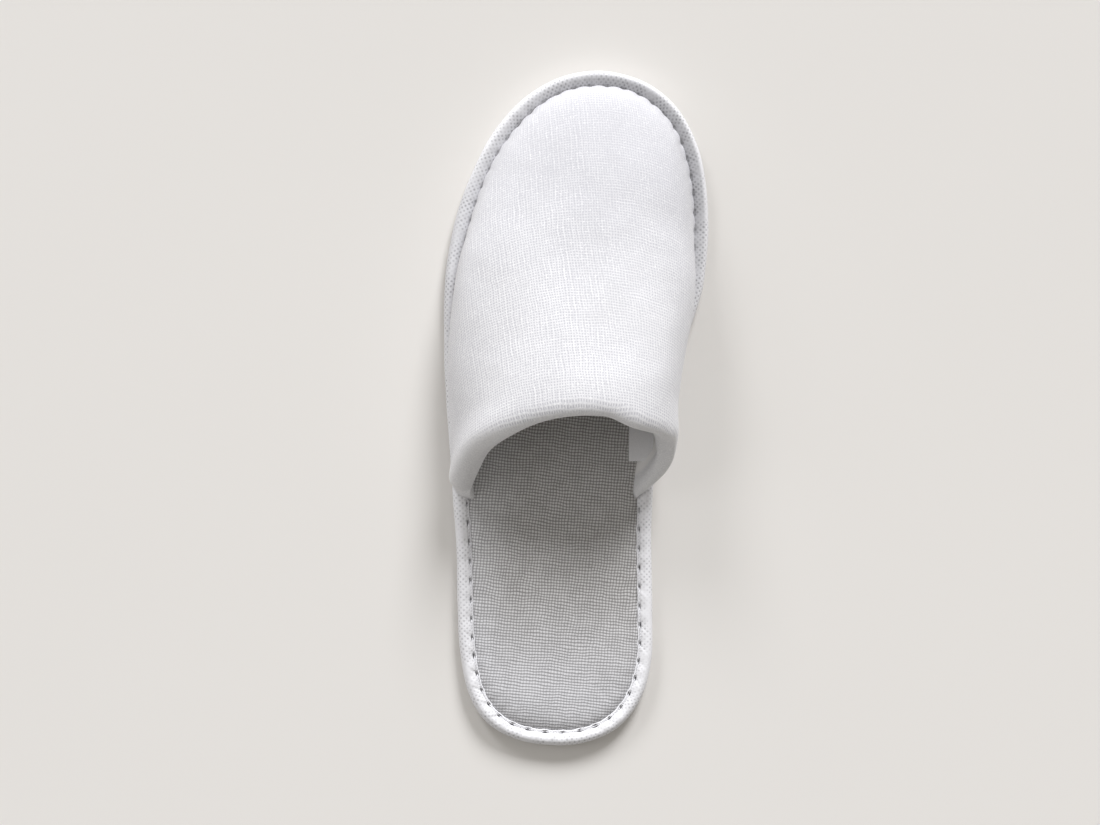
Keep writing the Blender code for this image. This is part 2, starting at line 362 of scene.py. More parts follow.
def shape_grid(name, points, cloth=None, marks=None):
    """A closed piece from a table of points in millimetres, columns by rows. cloth gives each
    point its place on the flat cloth, and marks are further numbers that a finish reads."""
    columns, rows = points.shape[:2]
    piece, column, row = add_grid(name, columns, rows)
    mesh = piece.data
    mesh.vertices.foreach_set("co", metres(points)[column, row].ravel())
    if cloth is not None:
        corner = np.empty(len(mesh.loops), int)
        mesh.loops.foreach_get("vertex_index", corner)
        layer = mesh.uv_layers.new(name="cloth")
        layer.uv.foreach_set("vector", (MM * cloth)[column, row][corner].ravel())
    for mark, values in (marks or {}).items():
        layer = mesh.attributes.new(mark, "FLOAT", "POINT")
        layer.data.foreach_set("value", values[column, row])
    close_up(piece)
    return piece


@contextmanager
def edit_mode(action=None):
    """Edit mode for the active piece, with all of it or none of it selected where that is asked."""
    bpy.ops.object.mode_set(mode="EDIT")
    if action:
        bpy.ops.mesh.select_all(action=action)
    yield
    bpy.ops.object.mode_set(mode="OBJECT")


def close_up(piece, merge=1e-6):
    """Joins the edges that meet, turns the faces outward and shades them smooth."""
    bpy.context.view_layer.objects.active = piece
    piece.select_set(True)
    with edit_mode("SELECT"):
        bpy.ops.mesh.remove_doubles(threshold=merge)
        bpy.ops.mesh.normals_make_consistent(inside=False)
    bpy.ops.object.shade_smooth()


def add_block(name, size, centre=(0, 0, 0)):
    """A cuboid with a size and a centre in millimetres, both in its mesh."""
    bpy.ops.object.select_all(action="DESELECT")
    bpy.ops.mesh.primitive_cube_add(size=1, location=[MM * place for place in centre])
    block = bpy.context.object
    block.name = name
    block.scale = [MM * side for side in size]
    bpy.ops.object.transform_apply(location=True, rotation=False, scale=True)
    return block


def modify(piece, name, kind, **settings):
    """Adds a modifier with its settings and applies it."""
    modifier = piece.modifiers.new(name, kind)
    for setting, value in settings.items():
        setattr(modifier, setting, value)
    bpy.ops.object.modifier_apply(modifier=name)


def on_root(piece, slot, *nodes):
    """Fixes a piece to the shoe's one body, in place of the CAD nodes named. slot is not used."""
    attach(piece, "root")
    if nodes:
        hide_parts(*nodes)
    return piece


# ------------------------ upper


def section_value(name, from_heel):
    rows = np.array(SECTIONS)
    return smooth(from_heel, rows[:, 0], rows[:, SECTION_COLUMNS.index(name)])


def wall_profile(up):
    """The wall from the foot (0) to the ridge (1): how far it has flared and risen to the bulge,
    then the share of the half width left and of the crown's height reached."""
    low = np.clip(up / FLARE_SHARE, 0, 1)
    high = np.clip((up - FLARE_SHARE) / (1 - FLARE_SHARE), 0, 1) * math.pi / 2
    flare = np.sin(low * math.pi / 2) ** FLARE_POWER
    return flare, low, np.abs(np.cos(high)) ** ROUNDNESS, np.sin(high) ** ROUNDNESS


def shell(station, bearing, ring):
    """Outer face of the upper, and the run along the edge of the foot below each point. Behind
    the toe centre a point is on a cross section, in front of it on a spoke with that bearing."""
    station, bearing, ring = np.broadcast_arrays(station, bearing, ring)
    foot = edge_point(RUN, np.full(RUN.shape, FOOT_INSET))
    ridge = section_value("ridge", station)
    spread = foot[:-1] - (section_value("ridge", TOE_CENTRE), TOE_CENTRE)
    angle = np.arctan2(spread[:, 0], spread[:, 1])
    order = np.argsort(angle)
    reach = np.interp(bearing, angle[order], np.hypot(*spread[order].T))
    foot_station = np.interp(bearing, angle[order], foot[:-1][order, 1])
    run = np.interp(bearing, angle[order], RUN[:-1][order])
    behind = station < TOE_CENTRE
    foot_station = np.where(behind, station, foot_station)
    toe = len(RUN) // 2
    bulge, widest = np.zeros(station.shape), np.zeros(station.shape)
    for side, here, part, way in (
        ("lateral", bearing < 0, slice(0, toe + 1), 1),
        ("medial", bearing >= 0, slice(toe, None), -1),
    ):
        line, line_run = foot[part][::way], RUN[part][::way]
        across = np.abs(np.interp(station, line[:, 1], line[:, 0]) - ridge)
        reach = np.where(here & behind, across, reach)
        run = np.where(here & behind, np.interp(station, line[:, 1], line_run), run)
        bulge = np.where(here, section_value(side + "_bulge", foot_station), bulge)
        widest = np.where(here, section_value(side + "_widest", foot_station), widest)
    flare, low, left, risen = wall_profile(1 - ring)
    out = (reach + bulge * flare) * left
    x, y = ridge + out * np.sin(bearing), station + out * np.cos(bearing)
    z = FOOT_HEIGHT + (widest - FOOT_HEIGHT) * low + (section_value("height", y) - widest) * risen
    return np.stack([x, y, z], axis=-1), run


def on_upper(across, along):
    """Station, bearing and ring of a point. across runs from the lateral foot (-1) over the ridge
    (0) to the medial foot (1), along from the collar (-1) over the toe centre (0) to the toe's
    tip (1)."""
    across, along = np.broadcast_arrays(np.asarray(across, float), np.asarray(along, float))
    in_front = along > 0
    size, side = np.abs(across), np.sign(across)
    ring = np.where(in_front, np.maximum(size, along), size)
    shared = np.maximum(ring, 1e-9)
    turned = np.where(size >= along, side * (2 - along / shared), across / shared) * math.pi / 4
    bearing = np.where(in_front, turned, side * math.pi / 2)
    rows = np.array(COLLAR)
    collar = smooth(across, rows[:, 0], rows[:, 1])
    return TOE_CENTRE + (TOE_CENTRE - collar) * np.minimum(along, 0), bearing, ring


def outer_face(across, along):
    return shell(*on_upper(across, along))[0]


def travelled(paths):
    """Length of each path; the points of a path run along the last axis but one."""
    return np.linalg.norm(np.diff(paths, axis=-2), axis=-1).sum(axis=-1)


def flat_cloth(across, along):
    """Where each point of the upper lies on the flat cloth: across and along its threads."""
    share = np.linspace(0, 1, 20)
    wide, deep = across[..., None], along[..., None]
    sideways = np.sign(across) * travelled(outer_face(wide * share, deep + 0 * share))
    backward = travelled(outer_face(wide + 0 * share, deep * share))
    station, bearing, ring = on_upper(across, along)
    spoke = travelled(shell(station[..., None], bearing[..., None], ring[..., None] * share)[0])
    in_front = along > 0
    u = np.where(in_front, spoke * np.sin(bearing), sideways)
    v = np.where(in_front, spoke * np.cos(bearing), -backward)
    return np.stack([u + THREAD_LEAN * v, v + THREAD_ARCH * u * u], axis=-1)


def face_normal(across, along):
    limit = 1 - 1.5 * SLOPE_STEP
    across, along = np.clip(across, -limit, limit), np.clip(along, -limit, limit)
    sideways = outer_face(across + SLOPE_STEP, along) - outer_face(across - SLOPE_STEP, along)
    forward = outer_face(across, along + SLOPE_STEP) - outer_face(across, along - SLOPE_STEP)
    normal = np.cross(sideways, forward)
    return normal / np.linalg.norm(normal, axis=-1, keepdims=True)


def upper_relief(points, run, from_collar):
    """How far the cloth stands off its smooth form: it swells over the tape between the stitches,
    gathers a little above them and rolls softly all over."""
    rise = points[..., 2] - FOOT_HEIGHT
    at_toe = ease(points[..., 1], 205.0, 240.0)
    hole = from_hole(run) / STITCH
    scallop = np.sin(math.pi * np.clip(hole, 0, 0.5)) ** 0.8 - 0.6
    scallop *= (0.45 + 0.3 * uneven(run, 33, 1.1)) * np.exp(-rise / 2.4)
    swell = (SEAM_SWELL + TOE_SWELL * at_toe) * np.exp(-((rise - 2.0) ** 2) / 14.0)
    gather = bell(from_hole(run), 0, 1.6) * np.exp(-rise / 7.0)
    gather *= 0.16 + 0.14 * uneven(run, 37, 0.4)
    soft = drift(points, 24.0, 3.7) * 0.55 + drift(points, 9.0, 11.2) * 0.14
    return scallop + swell - gather + soft * ease(from_collar, 6.0, 22.0)


def collar_distance(face):
    """The distance of each point of the upper from its collar, which is the table's first row."""
    columns = np.arange(len(face))
    fine = np.linspace(0, columns[-1], 8 * columns[-1] + 1)
    rim = np.stack([np.interp(fine, columns, face[:, 0, axis]) for axis in range(3)], axis=-1)
    gaps = [np.linalg.norm(row[:, None] - rim, axis=-1).min(axis=1) for row in face.swapaxes(0, 1)]
    return np.stack(gaps, axis=1)


def off_foot(across, power):
    """1 over most of the upper, falling to 0 at the foot of the wall on both sides."""
    return 1 - np.abs(across) ** power


def collar_puff(across, from_collar):
    """How far the padding swells before the collar rolls over, at both sides of the foot."""
    lateral = LATERAL_PUFF * ease(-across, 0.15, 0.5) * bell(from_collar, PUFF_CENTRE, 9.0)
    medial = MEDIAL_PUFF * ease(across, 0.35, 0.7) * bell(from_collar, PUFF_CENTRE, 7.5)
    return lateral * off_foot(across, 8) + medial * off_foot(across, 6)


def collar_sag(across, from_collar):
    """How far the upper sinks on the way to the collar, most at the lateral side."""
    lateral = LATERAL_SAG * ease(-across, 0.12, 0.6) * (1 - ease(from_collar, 20, 80))
    medial = MEDIAL_SAG * ease(across, 0.35, 0.75) * (1 - ease(from_collar, 15, 50))
    return (lateral + medial) * off_foot(across, 8)


def roll_share(across):
    """How much of the collar's roll is left across the upper: none at the foot of the wall."""
    return 1 - np.abs(across) ** np.where(across < 0, 5, 3)


def wall_thickness(across, from_collar):
    """The wall's thickness with the roll alone, and with the padding of the medial wing as well."""
    at_collar = 1 - ease(from_collar, 0, ROLL_REACH)
    rolled = WALL + (ROLL - WALL) * at_collar * roll_share(across)
    padding = WING_PAD * bell(across, WING_CENTRE, WING_WIDTH) * off_foot(across, 8)
    return rolled, rolled + padding * at_collar


def by_side(across, middle, lateral, medial):
    """A value at the ridge, with what the lateral and the medial side of the upper add to it."""
    to_lateral, to_medial = (ease(side * across, 0.2, 0.6) for side in (-1, 1))
    return middle + lateral * to_lateral + medial * to_medial


def roll_edge(face, normal, back, from_collar, tip, reach, depth):
    """Rounds one face of the wall off at the collar: over the last stretch, as long as reach, it
    runs on to a tip past the collar and drops by the depth along a quarter of an ellipse."""
    left = np.clip(1 - from_collar / reach, 0, 1)
    drop = depth * (1 - np.sqrt(1 - left**2))
    return face + back * (tip * left)[..., None] - normal * drop[..., None]


def upper_faces(across, along):
    """The outer and inner faces of the padded wall, and their distances from the collar."""
    station, bearing, ring = on_upper(across, along)
    outer, run = shell(station, bearing, ring)
    normal = face_normal(across, along)
    normal[..., 2] *= ease(1 - ring, 0, FOOT_TURN)
    normal /= np.linalg.norm(normal, axis=-1, keepdims=True)
    steps = np.linalg.norm(np.diff(outer, axis=1), axis=-1)
    down_the_rows = np.concatenate([0 * across[:, :1], np.cumsum(steps, axis=1)], axis=1)
    rolled, thickness = wall_thickness(across, down_the_rows)
    outer[..., 2] -= collar_sag(across, collar_distance(outer))
    inner = outer - normal * thickness[..., None]
    back = np.cross(np.gradient(outer[:, :1], axis=0), normal[:, :1])
    back /= np.linalg.norm(back, axis=-1, keepdims=True)
    from_collar = collar_distance(outer)
    swell = upper_relief(outer, run, from_collar) + collar_puff(across, from_collar)
    outer = outer + normal * swell[..., None]

    edge = across[:, :1]
    tip = rolled[:, :1] * by_side(edge, *TIP_SHARE)
    outer_depth = rolled[:, :1] * by_side(edge, *OUTER_SHARE)
    inner_depth = thickness[:, :1] - outer_depth
    tapered = 0.3 + 0.7 * roll_share(edge)
    outer_reach = by_side(edge, *OUTER_REACH) * tapered
    inner_reach = by_side(edge, *INNER_REACH) * tapered
    outer = roll_edge(outer, normal, back, from_collar, tip, outer_reach, outer_depth)
    inner = roll_edge(inner, -normal, back, from_collar, tip, inner_reach, inner_depth)
    return outer, inner, from_collar


def wrapped(outside, seam, inside):
    """One table round the wall: the outside from the collar to the seam, then the inside."""
    return np.concatenate([outside, seam, inside[:, ::-1], outside[:, :1]], axis=1)


def with_ends(table, first, last):
    return np.concatenate([first[:1], table, last[-1:]], axis=0)


def upper_cloth(across, along, from_collar):
    """Where each point of the wall lies on the flat cloth, and the marks that its finish reads:
    the weave, which fades out before the roll, and the lining, which starts behind it."""
    fade = 1.6 + 8.9 * ease(-across, 0.25, 0.6) + 3.0 * ease(across, 0.6, 0.9)
    woven, lined = ease(from_collar, 0.2 * fade, fade), ease(from_collar, 5.0, 7.0)
    flat = flat_cloth(across, along)
    cloth, weave_mark, lining_mark = (
        with_ends(*[wrapped(outside, outside[:, -1:], inside)] * 3)
        for outside, inside in ((flat, flat), (woven, 0 * woven), (0 * lined, lined))
    )
    return cloth, {"weave": weave_mark, "lining": lining_mark}


def make_upper():
    half = np.linspace(-1, 1, UPPER_COLUMNS + 1)
    to_collar = np.linspace(0, 1, COLLAR_ROWS, endpoint=False) ** 1.5 - 1
    rows = np.append(to_collar, np.linspace(0, 1, TOE_ROWS))
    across, along = np.meshgrid(half, rows, indexing="ij")
    outer, inner, from_collar = upper_faces(across, along)
    middle = (outer + inner) / 2
    ends = wrapped(middle, middle[:, -1:], middle)
    wall = with_ends(wrapped(outer, middle[:, -1:], inner), ends, ends)
    upper = shape_grid("upper_vamp", wall, *upper_cloth(across, along, from_collar))
    on_root(upper, "upper_cloth", "upper")
    return upper


# ------------------------ insole, outsole and tread


def rim_and_spine(runs, inset):
    """Points at an inset from the edge, and the nearest points of the sole's middle line."""
    rim = edge_point(runs, np.full(runs.shape, inset))
    spine_y = np.clip(rim[:, 1], *SPINE)
    spine_x = (half_width("medial", spine_y) - half_width("lateral", spine_y)) / 2
    return rim, np.column_stack([spine_x, spine_y])


def sole_layer(name, profile, floor, top, shares=(0.2, 0.4, 0.6, 0.8, 1.0), relief=None):
    """A flat solid of the sole's outline: its underside and top each run in from a profile of
    rings to the middle line."""
    runs = np.linspace(0, EDGE_LENGTH, SOLE_COLUMNS + 1)
    insets = [row[0] for row in profile]
    heights = [row[1] for row in profile]
    rings = [edge_point(runs, np.full(runs.shape, inset)) for inset in insets]
    first_rim, first_spine = rim_and_spine(runs, insets[0])
    last_rim, last_spine = rim_and_spine(runs, insets[-1])
    below = [first_spine + (first_rim - first_spine) * share for share in (0.0, 0.5)]
    above = [last_rim + (last_spine - last_rim) * share for share in shares]
    flat = np.stack(below + rings + above, axis=1)
    height = np.array([floor] * len(below) + heights + list(top))
    points = np.concatenate([flat, np.broadcast_to(height[:, None], flat.shape[:2] + (1,))], axis=2)
    if relief is not None:
        depth = np.array([0.0] * len(below) + insets + [insets[-1]] * len(shares))
        points[..., 2] += relief(points, runs[:, None], depth[None, :], height[None, :])
    return shape_grid(name, points)


def pad_relief(points, run, inset, height):
    """The padded cloth dips at each needle hole and lies a little unevenly."""
    upper_side = ease(height, 4.9, 5.6)
    dips = bell(from_hole(run), 0, 1.6) * np.exp(-np.clip(inset - 6.3, 0, None) / 3.2)
    soft = 0.45 * drift(points, 26.0, 5.1) + 0.12 * drift(points, 8.0, 9.4)
    return upper_side * (ease(inset, 6.0, 7.0) * -0.35 * dips + ease(inset, 7.0, 16.0) * soft)


def make_insole():
    crown = np.linspace(PAD_PROFILE[-1][1], PAD_TOP, 11)[1:]
    shares = np.linspace(0, 1, 11)[1:]
    insole = sole_layer("footbed_pad", PAD_PROFILE, PAD_PROFILE[0][1], crown, shares, pad_relief)
    on_root(insole, "footbed_cloth", "insole")
    return insole


def make_outsole():
    outsole = sole_layer("foam_sole", SOLE_PROFILE, SOLE_PROFILE[0][1], [SOLE_PROFILE[-1][1]] * 5)
    return on_root(outsole, "foam_sole", "outsole")


def make_tread():
    """One cell, a square block with a pyramid-shaped pit in its underside, laid out in rows."""
    tread = add_block("sole_tread", (CELL, CELL, TREAD_DEPTH), (0, 0, TREAD_DEPTH / 2))
    with edit_mode("DESELECT"):
        bpy.ops.mesh.select_mode(type="FACE")
    for face in tread.data.polygons:
        face.select = face.normal.z < -0.9
    with edit_mode():
        bpy.ops.mesh.inset(thickness=MM * RIDGE / 2)
        bpy.ops.mesh.poke(offset=-MM * PIT)
    each = len(tread.data.vertices)
    widest = max(lateral for _, lateral, _ in OUTLINE)
    count = math.ceil((LENGTH + 2 * widest) / math.sqrt(2) / CELL)
    rows = {"count": count, "use_relative_offset": False, "use_constant_offset": True}
    for name, step in (("in_rows", (MM * CELL, 0, 0)), ("in_columns", (0, MM * CELL, 0))):
        modify(tread, name, "ARRAY", constant_offset_displace=step, **rows)
    place_tread(tread, each, count)
    return on_root(tread, "foam_sole", "outsole")


def place_tread(tread, each, count):
    """Turns the cells to stand on their corners, drops those off the sole and trims the rest."""
    flat = np.empty(len(tread.data.vertices) * 3)
    tread.data.vertices.foreach_get("co", flat)
    points = flat.reshape(-1, 3) / MM
    turn = math.sqrt(0.5)
    x, y = (points[:, 0], points[:, 1]) - np.full((2, 1), CELL * (count - 1) / 2)
    points[:, 0], points[:, 1] = (x - y) * turn, (x + y) * turn + LENGTH / 2
    ring = edge_point(RUN[:-1:4], np.full(RUN[:-1:4].shape, TREAD_INSET))
    outward = OUTWARD[:-1:4]
    inside = np.zeros(len(points), bool)
    for start in range(0, len(points), TREAD_BATCH):
        batch = slice(start, start + TREAD_BATCH)
        part = points[batch, :2]
        near = np.argmin(((part[:, None] - ring[None]) ** 2).sum(axis=2), axis=1)
        off = ((part - ring[near]) * outward[near]).sum(axis=1)
        inside[batch] = off < 0
        past = off >= 0
        points[batch][past, :2] = ring[near[past]]
    kept = inside.reshape(-1, each).any(axis=1).repeat(each)
    tread.data.vertices.foreach_set("co", metres(points).ravel())
    with edit_mode("DESELECT"):
        bpy.ops.mesh.select_mode(type="VERT")
    tread.data.vertices.foreach_set("select", ~kept)
    with edit_mode():
        bpy.ops.mesh.delete(type="VERT")


# ------------------------ edge tape and stitches


def sewn_share(run):
    """0 where the tape's upper lip is free, 1 where the upper is sewn over it."""
    return ease(rim_point(run)[..., 1], *LIP_BLEND)


def tape_line(run, rows):
    """Middle line of the folded tape at each run: inset and height, rows evenly along the fold."""
    fold = np.vstack([TAPE_FOLD, FREE_LIP]), np.vstack([TAPE_FOLD, SEWN_LIP])
    step = np.append(0, np.cumsum(np.linalg.norm(np.diff(fold[0], axis=0), axis=1)))
    at = step[-1] * np.interp(np.linspace(0, 1, rows), ROW_SHARES, FOLD_SHARES)
    free, sewn = (
        np.stack([smooth(at, step, line[:, axis]) for axis in (0, 1)], axis=-1) for line in fold
    )
    under_upper = sewn_share(run)[:, None, None]
    return free * (1 - under_upper) + sewn * under_upper, at


def tape_relief(run, inset, height):
    """Puckers of the tape: it is drawn down at each needle hole, puffs between them and wrinkles
    slantwise, more so round the heel and the toe."""
    from_heel = rim_point(run)[..., 1]
    bend = 1 - ease(from_heel, 12, 60) + 0.3 * ease(from_heel, 225, 262)
    on_top = ease(height, 4.0, 5.6)
    free = 1 - sewn_share(run)
    line = bell(inset, STITCH_INSET, 0.5) * (0.25 + 0.75 * free)
    hole = bell(from_hole(run), 0, HOLE_REACH, 4) * (0.85 + 0.3 * uneven(run, 27, 0.8))
    drawn = np.cos(math.pi * from_hole(run) / (EDGE_LENGTH / STITCHES)) ** 2
    body = bell(inset, 4.0, 1.3)
    wrinkle = ripple(run + 1.1 * inset, 3.1, 0.7) * (0.5 + 0.5 * uneven(run, 23, 1.9))
    fold = ripple(run - 0.9 * inset, 6.2, 2.6) * (0.5 + 0.5 * uneven(run, 41, 0.3))
    crumple = (0.03 + 0.04 * bend) * wrinkle + (0.03 + 0.05 * bend) * fold
    crease = bell(from_hole(run - 0.9 * (STITCH_INSET - inset)), 0, 0.7)
    crumple -= (0.06 + 0.20 * bend) * crease * ease(inset, 1.2, 4.8) * free
    lip = np.where(inset > 2.0, 1.0, 0.35)
    pull = 0.85 * line * hole + 0.16 * line + 0.20 * drawn * body * (0.3 + 0.7 * free)
    return crumple * lip * (0.35 + 0.65 * on_top) - pull * on_top


def painted_hole_shade(run, inset):
    """1 in the short gaps that the thread leaves at its holes, along the seam beside the insole,
    where the tape is coloured dark: painted shade.
    """
    gap = bell(from_hole(run), 0, HOLE_REACH, 4) * (1 - 0.75 * sewn_share(run))
    return gap * bell(inset, STITCH_INSET, 0.34)


def seam_shade(runs, run, inset, height):
    """The painted shade of the tape beside the sewn-in upper, its colour darkened for the shade
    in the seam. It is deepest round the medial side of the toe, thins out towards the wings and
    takes in the tape's rim along the lateral side."""
    x, from_heel = np.moveaxis(rim_point(runs)[:, None], -1, 0)
    to_medial, to_toe = ease(x, -42, 8), ease(from_heel, 212, 238)
    outward = 1.5 * (1 - to_medial) * (1 - ease(from_heel, 217, 257))
    top = ease(inset + outward, 0.9, 2.4) * ease(height + outward, 3.6, 4.6)
    past_wing = 0.3 + 0.7 * ease(from_heel, 140, 215)
    return sewn_share(run) * top * past_wing * (0.62 + 0.38 * to_medial * to_toe)


def tape_marks(runs, run, inset, height):
    """What the tape's finish reads, on its skin alone: the painted shade in the gaps at the needle
    holes, the raw edge of the free lip and the painted shade in the seam."""
    on_top = ease(height, *TOP_START)
    raw_edge = ease(inset - STITCH_INSET, 0.25, 0.55) * on_top * (1 - sewn_share(run))
    marks = {
        "painted_hole_shade": painted_hole_shade(run, inset) * on_top,
        "raw_edge": raw_edge,
        "painted_seam_shade": seam_shade(runs, run, inset, height),
    }
    return {
        name: np.concatenate([skin, 0 * skin, skin[:, :1]], axis=1) for name, skin in marks.items()
    }


def round_the_edge(runs, section):
    """Points of a section of insets and heights at each run round the sole, kept off the floor."""
    flat = edge_point(run_of(runs, section), section[..., 0])
    return np.concatenate([flat, np.maximum(section[..., 1:], FLOOR_GAP)], axis=-1)


def strip_cloth(runs, across):
    """Places on a flat strip: its length is the run and its width the distance across it."""
    return np.stack(np.broadcast_arrays(runs[:, None], across[None, :]), axis=-1)


def make_tape():
    runs = np.linspace(0, EDGE_LENGTH, TAPE_COLUMNS + 1)
    line, at = tape_line(runs, TAPE_ROWS)
    run, inset, height = run_of(runs, line), line[..., 0], line[..., 1]
    along = np.gradient(line, axis=1)
    out = np.stack([-along[..., 1], along[..., 0]], axis=-1)
    out /= np.linalg.norm(out, axis=-1, keepdims=True)
    relief = tape_relief(run, inset, height)[..., None]
    wander = 0.12 * uneven(run, 31, 2.2)[..., None]
    skin = line + out * (TAPE / 2 + relief + wander)
    inside = line + out * (relief + wander - TAPE / 2)
    section = np.concatenate([skin, inside[:, ::-1], skin[:, :1]], axis=1)
    cloth = strip_cloth(runs, np.concatenate([at, at[::-1], at[:1]]))
    marks = tape_marks(runs, run, inset, height)
    tape = shape_grid("edge_tape", round_the_edge(runs, section), cloth, marks)
    on_root(tape, "binding_tape", "edge_binding")
    # The strip's mean length is that of the edge 2.6 mm in, where the middle of the fold lies.
    return tape


def make_thread(name, inset, height, side):
    """The sewing thread: it lies on the tape and dives through it at each needle hole."""
    runs = np.linspace(0, EDGE_LENGTH, STITCHES * THREAD_POINTS + 1)
    turns = np.linspace(0, 2 * math.pi, THREAD_SIDES + 1)
    dive = DIVE_DEPTH * bell(from_hole(runs), 0, DIVE_REACH)
    level = height(runs) + side * (THREAD * 0.6 - dive)
    sway = inset(runs) + 0.12 * uneven(runs, 17, 0.9)
    around = np.stack(
        [sway[:, None] + THREAD * np.cos(turns), level[:, None] + THREAD * np.sin(turns)], axis=-1
    )
    cloth = strip_cloth(runs, THREAD * turns)
    return on_root(shape_grid(name, round_the_edge(runs, around), cloth), "binding_tape")


def make_stitches():
    """The upper row, which the sewn-in upper pushes inward and down, and the lower row."""

    def top_inset(runs):
        return STITCH_INSET + 0.75 * sewn_share(runs)

    def on_top(runs):
        line, _ = tape_line(runs, STITCH_ROWS)
        inset, height = line[..., 0], line[..., 1]
        below_top = height < TOP_START[0]
        off = np.abs(inset - top_inset(runs)[:, None]) + LENGTH * below_top
        level = height[np.arange(len(runs)), np.argmin(off, axis=1)]
        return level + TAPE / 2 - 0.3 * sewn_share(runs)

    def lower_inset(runs):
        return np.full(runs.shape, TAPE_FOLD[1][0])

    def below(runs):
        return np.full(runs.shape, TAPE_FOLD[1][1] - TAPE / 2)

    return (
        make_thread("upper_stitches", top_inset, on_top, 1),
        make_thread("lower_stitches", lower_inset, below, -1),
    )


# ------------------------ inner tab


def make_tab():
    """A scrap of lining cloth, slightly wavy, curled up at the wall and tapered to the heel."""
    tab = add_block("lining_tab", TAB_SIZE)
    with edit_mode("SELECT"):
        bpy.ops.mesh.subdivide(number_cuts=11)
    modify(tab, "soft_edges", "BEVEL", width=MM * TAB_SIZE[2] / 3, segments=2)
    for vertex in tab.data.vertices:
        across, along = vertex.co.x / (MM * TAB_SIZE[0]), vertex.co.y / (MM * TAB_SIZE[1])
        wave = 0.5 * along * along + 0.35 * math.sin(5 * along + 2 * across) * across
        vertex.co.z += MM * (wave + TAB_CURL * max(across - 0.1, 0) ** 2)
        vertex.co.x -= MM * TAB_SIZE[0] * (across + 0.5) * TAB_TAPER * (0.5 - along)
    turn = Matrix.Rotation(TAB_TURN, 4, "Z") @ Matrix.Rotation(-TAB_SLOPE, 4, "Y")
    tab.data.transform(Matrix.Translation(Vector(metres(TAB_CENTRE))) @ turn)
    close_up(tab)
    on_root(tab, "tab_cloth", "inner_tab")
    return tab


# ------------------------ finishes


class Value:
    """A number that changes over a surface, so that its sums are written as Python."""

    def __init__(self, finish, socket):
        self.finish, self.socket = finish, socket

    def maths(self, operation, *others):
        inputs = dict(enumerate((self, *others)))
        node = self.finish.node("ShaderNodeMath", {"operation": operation}, inputs)
        return Value(self.finish, node.outputs[0])

    def __add__(self, other):
        return self.maths("ADD", other)

    def __mul__(self, other):
        return self.maths("MULTIPLY", other)

    def __sub__(self, other):
        return self.maths("SUBTRACT", other)

    def __rsub__(self, other):
        return self.finish.number(other).maths("SUBTRACT", self)

    __radd__, __rmul__ = __add__, __mul__

    def sine(self):
        return self.maths("SINE")

    def size(self):
        return self.maths("ABSOLUTE")

    def whole(self):
        return self.maths("FLOOR")

    def power(self, exponent):
        return self.maths("POWER", exponent)

    def between(self, low, high):
        """0 below low, 1 above high and a smooth step between them."""
        settings = {"interpolation_type": "SMOOTHSTEP"}
        inputs = {"Value": self, "From Min": low, "From Max": high}
        node = self.finish.node("ShaderNodeMapRange", settings, inputs)
        return Value(self.finish, node.outputs["Result"])


class Finish:
    """A material under construction."""

    def __init__(self, name, colour, roughness, **sockets):
        self.material = bpy.data.materials.new(name)
        self.material.use_nodes = True
        self.tree = self.material.node_tree
        self.shader = self.tree.nodes["Principled BSDF"]
        self.set(self.shader, {"Base Color": (*colour, 1), "Roughness": roughness, **sockets})

    def set(self, node, inputs):
        for name, value in inputs.items():
            if isinstance(value, Value):
                value = value.socket
            if isinstance(value, bpy.types.NodeSocket):
                self.tree.links.new(value, node.inputs[name])
            else:
                node.inputs[name].default_value = value

    def node(self, kind, settings=None, inputs=None):
        made = self.tree.nodes.new(kind)
        for name, value in (settings or {}).items():
            setattr(made, name, value)
        self.set(made, inputs or {})
        return made

    def number(self, value):
        made = self.node("ShaderNodeValue")
        made.outputs[0].default_value = value
        return Value(self, made.outputs[0])

    def point(self, x, y, z):
        return self.node("ShaderNodeCombineXYZ", None, {"X": x, "Y": y, "Z": z}).outputs[0]

    def axes(self, vector):
        parts = self.node("ShaderNodeSeparateXYZ", None, {"Vector": vector})
        return [Value(self, output) for output in parts.outputs]

    def millimetres(self, metres_output):
        inputs = {0: metres_output, "Scale": 1 / MM}
        return self.node("ShaderNodeVectorMath", {"operation": "SCALE"}, inputs).outputs[0]

    def place(self):
        """Object coordinates in millimetres."""
        return self.millimetres(self.node("ShaderNodeTexCoord").outputs["Object"])

    def cloth(self):
        """Place on the flat cloth in millimetres."""
        return self.millimetres(self.node("ShaderNodeUVMap", {"uv_map": "cloth"}).outputs["UV"])

    def mark(self, name):
        """One of the piece's own numbers, as shape_grid stored it."""
        stored = self.node("ShaderNodeAttribute", {"attribute_name": name})
        return Value(self, stored.outputs["Fac"])

    def cloud(self, where, size, detail=2.0):
        """Soft noise from 0 to 1, with features of about that many millimetres."""
        inputs = {"Vector": where, "Scale": 1 / size, "Detail": detail}
        return Value(self, self.node("ShaderNodeTexNoise", None, inputs).outputs["Fac"])

    def blend(self, factor, low, high):
        """A colour that goes from low to high as the factor goes from 0 to 1."""
        low, high = ((*end, 1) if isinstance(end, tuple) else end for end in (low, high))
        node = self.node("ShaderNodeMix", {"data_type": "RGBA"}, {0: factor, 6: low, 7: high})
        return node.outputs[2]

    def colour(self, factor, low, high):
        self.set(self.shader, {"Base Color": self.blend(factor, low, high)})

    def relief(self, height):
        """Bump from a height in millimetres."""
        bump = self.node("ShaderNodeBump", None, {"Distance": MM, "Height": height})
        self.set(self.shader, {"Normal": bump.outputs["Normal"]})


